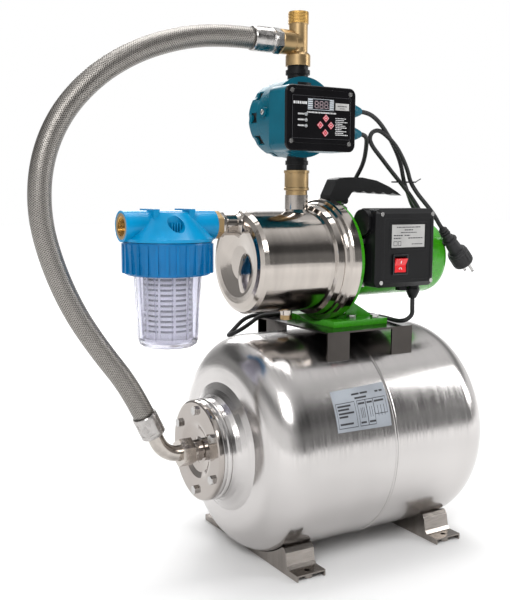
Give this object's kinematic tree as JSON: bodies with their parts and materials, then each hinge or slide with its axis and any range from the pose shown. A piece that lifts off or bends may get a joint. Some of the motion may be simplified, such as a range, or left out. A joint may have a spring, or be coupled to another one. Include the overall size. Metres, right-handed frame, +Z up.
{
  "type": "shallow well jet pump booster set",
  "caption": "Self-priming jet pump on a horizontal steel pressure tank, with inlet filter, electronic flow controller, braided tank hose and mains lead.",
  "frame": {"origin": "on the floor at the middle of the four floor bolt holes, under the middle of the tank", "axes": "+Z up, +X along the tank from the hose end towards the motor end, -Y towards the side with the terminal box, the rocker and the keys"},
  "size_m": [0.793, 0.367, 0.8985],
  "materials": {
    "stainless": "polished stainless steel",
    "foot_steel": "satin stainless sheet",
    "fastener_steel": "bright zinc",
    "shaft_steel": "ground",
    "core_steel": "laminated",
    "brass": "satin",
    "hose_braid": "stainless braid over rubber",
    "rubber_black": "matt",
    "green_paint": "glossy paint",
    "black_plastic": "fine texture",
    "teal_plastic": "fine texture",
    "gland_black": "fine texture",
    "red_plastic": "glossy",
    "display": "clear",
    "board": "solder mask",
    "can": "satin",
    "head_blue": "glossy",
    "ring_blue": "glossy",
    "bowl_clear": "clear",
    "cartridge": "satin"
  },
  "bodies": {
    "base": {"air_valve": "stainless", "bearings": "shaft_steel", "capacitor": "can", "carry_handle": "black_plastic", "control_board": "board", "controller_body": "teal_plastic", "controller_cover": "black_plastic", "controller_glands": "teal_plastic", "controller_rear_cap": "teal_plastic", "cord_tie": "black_plastic", "cover_screws": "fastener_steel", "delivery_nipple": "brass", "display_window": "display", "drain_plug": "brass", "ejector": "shaft_steel", "fan_cover": "green_paint", "filter_head": "head_blue", "filter_inserts": "brass", "filter_nipple": "brass", "flow_tube": "black_plastic", "hex_bolts": "fastener_steel", "hose": "hose_braid", "hose_elbow": "fastener_steel", "hose_ferrules": "fastener_steel", "hose_fitting_top": "fastener_steel", "mains_lead": "rubber_black", "mains_plug": "rubber_black", "motor_bracket": "green_paint", "motor_housing": "green_paint", "motor_lead": "rubber_black", "outlet_tee": "brass", "pump_bracket": "foot_steel", "pump_casing": "stainless", "rocker_bezel": "black_plastic", "seal_rings": "rubber_black", "stator": "core_steel", "tank_diaphragm": "rubber_black", "tank_feet": "foot_steel", "tank_flange": "stainless", "tank_shell_left": "stainless", "tank_shell_right": "stainless", "terminal_box": "black_plastic", "terminal_cover": "black_plastic", "terminal_gland": "gland_black"},
    "rotor": {"motor_shaft": "shaft_steel", "rotor_core": "core_steel", "impeller": "shaft_steel", "cooling_fan": "black_plastic", "shaft_seal": "rubber_black"},
    "rocker": {"power_rocker": "red_plastic"},
    "key_up": {"key_up": "red_plastic"},
    "key_down": {"key_down": "red_plastic"},
    "key_left": {"key_left": "red_plastic"},
    "key_right": {"key_right": "red_plastic"},
    "plunger": {"check_plunger": "black_plastic"},
    "bowl": {"filter_bowl": "bowl_clear", "filter_cartridge": "cartridge"},
    "ring_nut": {"filter_ring_nut": "ring_blue"},
    "hose_nut": {"hose_swivel_nut": "fastener_steel"},
    "valve_cap": {"air_valve_cap": "black_plastic"}
  },
  "joints": [
    {"name": "rotor_spin", "type": "hinge", "parent": "base", "child": "rotor", "pos_m": [0, 0, 0.4905], "axis": [1, 0, 0], "continuous": true},
    {"name": "rocker_tilt", "type": "hinge", "parent": "base", "child": "rocker", "pos_m": [0.046, -0.118, 0.488], "axis": [1, 0, 0], "range_deg": [-22, 0]},
    {"name": "key_up_press", "type": "slide", "parent": "base", "child": "key_up", "axis": [0, 1, 0], "range_m": [0, 0.0008], "stiffness_N_per_m": 400},
    {"name": "key_down_press", "type": "slide", "parent": "base", "child": "key_down", "axis": [0, 1, 0], "range_m": [0, 0.0008], "stiffness_N_per_m": 400},
    {"name": "key_left_press", "type": "slide", "parent": "base", "child": "key_left", "axis": [0, 1, 0], "range_m": [0, 0.0008], "stiffness_N_per_m": 400},
    {"name": "key_right_press", "type": "slide", "parent": "base", "child": "key_right", "axis": [0, 1, 0], "range_m": [0, 0.0008], "stiffness_N_per_m": 400},
    {"name": "plunger_lift", "type": "slide", "parent": "base", "child": "plunger", "axis": [0, 0, 1], "range_m": [0, 0.008]},
    {"name": "bowl_drop", "type": "slide", "parent": "base", "child": "bowl", "axis": [0, 0, 1], "range_m": [-0.06, 0]},
    {"name": "ring_nut_turn", "type": "hinge", "parent": "bowl", "child": "ring_nut", "pos_m": [-0.319, 0, 0.5], "axis": [0, 0, 1], "continuous": true},
    {"name": "hose_nut_turn", "type": "hinge", "parent": "base", "child": "hose_nut", "pos_m": [-0.291, 0, 0.188], "axis": [1, 0, 0], "continuous": true},
    {"name": "valve_cap_off", "type": "slide", "parent": "base", "child": "valve_cap", "axis": [1, 0, 0], "range_m": [0, 0.02]}
  ]
}
